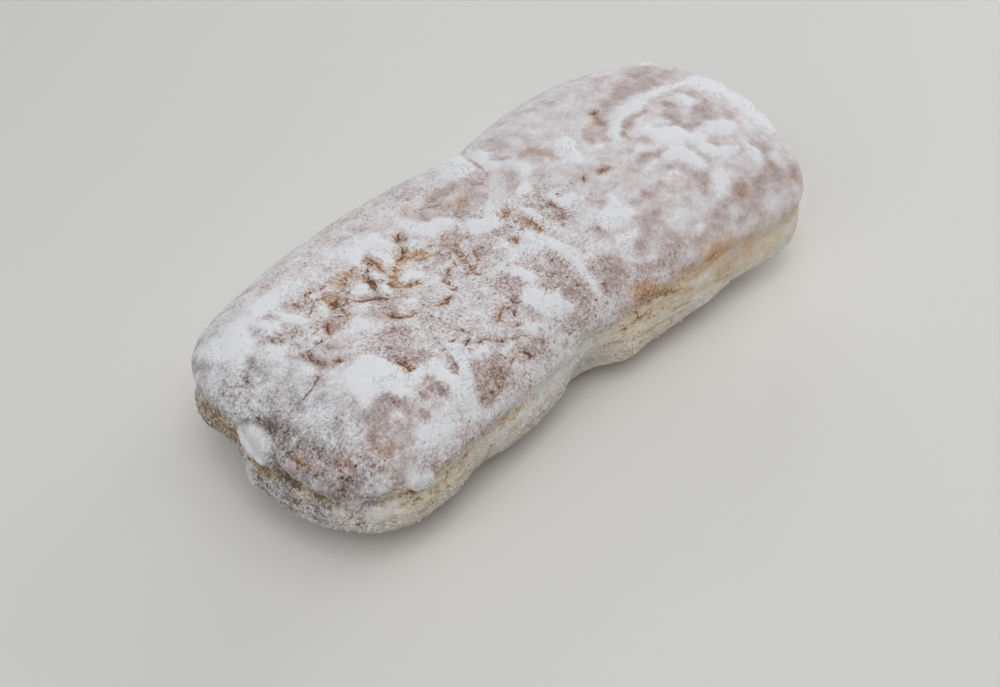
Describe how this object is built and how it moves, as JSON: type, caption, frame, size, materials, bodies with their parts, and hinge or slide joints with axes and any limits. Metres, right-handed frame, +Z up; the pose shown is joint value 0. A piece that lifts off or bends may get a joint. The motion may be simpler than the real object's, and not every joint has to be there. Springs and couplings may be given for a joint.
{
  "type": "powdered long john doughnut",
  "caption": "Long flat raised doughnut with two puffed lobes, a waist between them, a pale band round the side and powdered sugar all over, lying on its flat base.",
  "frame": {"origin": "middle of the footprint, on the surface that the doughnut rests on", "axes": "+X along the doughnut from its near end to its far end, +Y to its left side, +Z up"},
  "size_m": [0.1756, 0.0836, 0.039],
  "materials": {
    "powdered_crust": "matte: caked and dusted white sugar over a pinkish brown fried crust, with a pale cream band round the side"
  },
  "bodies": {
    "root": {"doughnut": "powdered_crust"}
  },
  "joints": []
}
